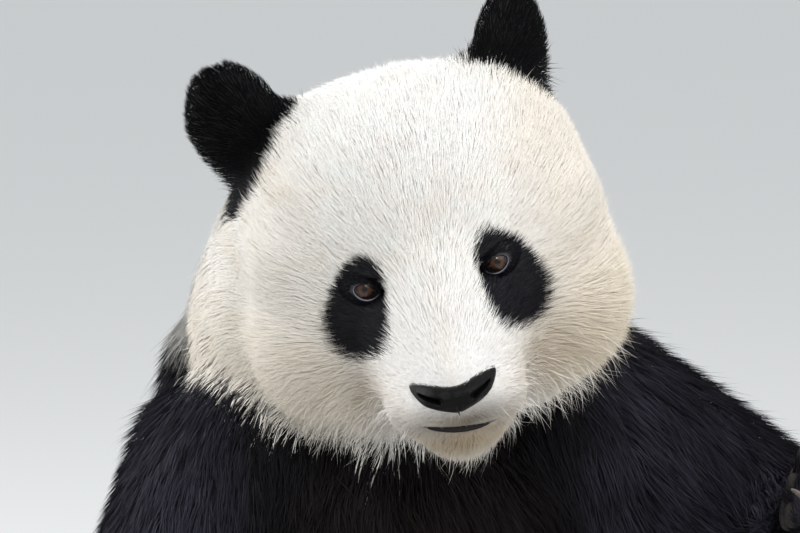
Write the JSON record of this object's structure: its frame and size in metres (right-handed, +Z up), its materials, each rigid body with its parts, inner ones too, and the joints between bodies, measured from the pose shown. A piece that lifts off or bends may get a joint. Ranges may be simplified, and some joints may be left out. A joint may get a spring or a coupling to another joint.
{
  "type": "giant panda",
  "caption": "Adult giant panda as a still, life-size model, sitting upright on its rump with one forepaw raised and its head turned.",
  "frame": {"origin": "on the floor, on the flat under the rump, in the middle plane of the body", "axes": "+Z up, the body faces -Y, +X is the animal's own left"},
  "size_m": [0.8928, 0.9099, 1.0697],
  "materials": {
    "white_coat": "dense matt fur, ivory white",
    "black_coat": "dense matt fur, black with a cool sheen",
    "nose_skin": "softly glossy, finely grained black skin",
    "eye": "wet gloss, dark orange-brown",
    "claw": "satin dark horn"
  },
  "bodies": {
    "root": {"head": "white_coat", "lower_jaw": "white_coat", "neck": "white_coat", "trunk": "white_coat", "tail": "white_coat", "ear_left": "black_coat", "upper_arm_left": "black_coat", "forearm_left": "black_coat", "forepaw_left": "black_coat", "thigh_left": "black_coat", "shank_left": "black_coat", "hind_foot_left": "black_coat", "ear_right": "black_coat", "upper_arm_right": "black_coat", "forearm_right": "black_coat", "forepaw_right": "black_coat", "thigh_right": "black_coat", "shank_right": "black_coat", "hind_foot_right": "black_coat", "nose": "nose_skin", "eye_left": "eye", "eye_right": "eye", "claw_fore_left_1": "claw", "claw_fore_left_2": "claw", "claw_fore_left_3": "claw", "claw_fore_left_4": "claw", "claw_fore_left_5": "claw", "claw_hind_left_1": "claw", "claw_hind_left_2": "claw", "claw_hind_left_3": "claw", "claw_hind_left_4": "claw", "claw_hind_left_5": "claw", "claw_fore_right_1": "claw", "claw_fore_right_2": "claw", "claw_fore_right_3": "claw", "claw_fore_right_4": "claw", "claw_fore_right_5": "claw", "claw_hind_right_1": "claw", "claw_hind_right_2": "claw", "claw_hind_right_3": "claw", "claw_hind_right_4": "claw", "claw_hind_right_5": "claw"}
  },
  "joints": []
}
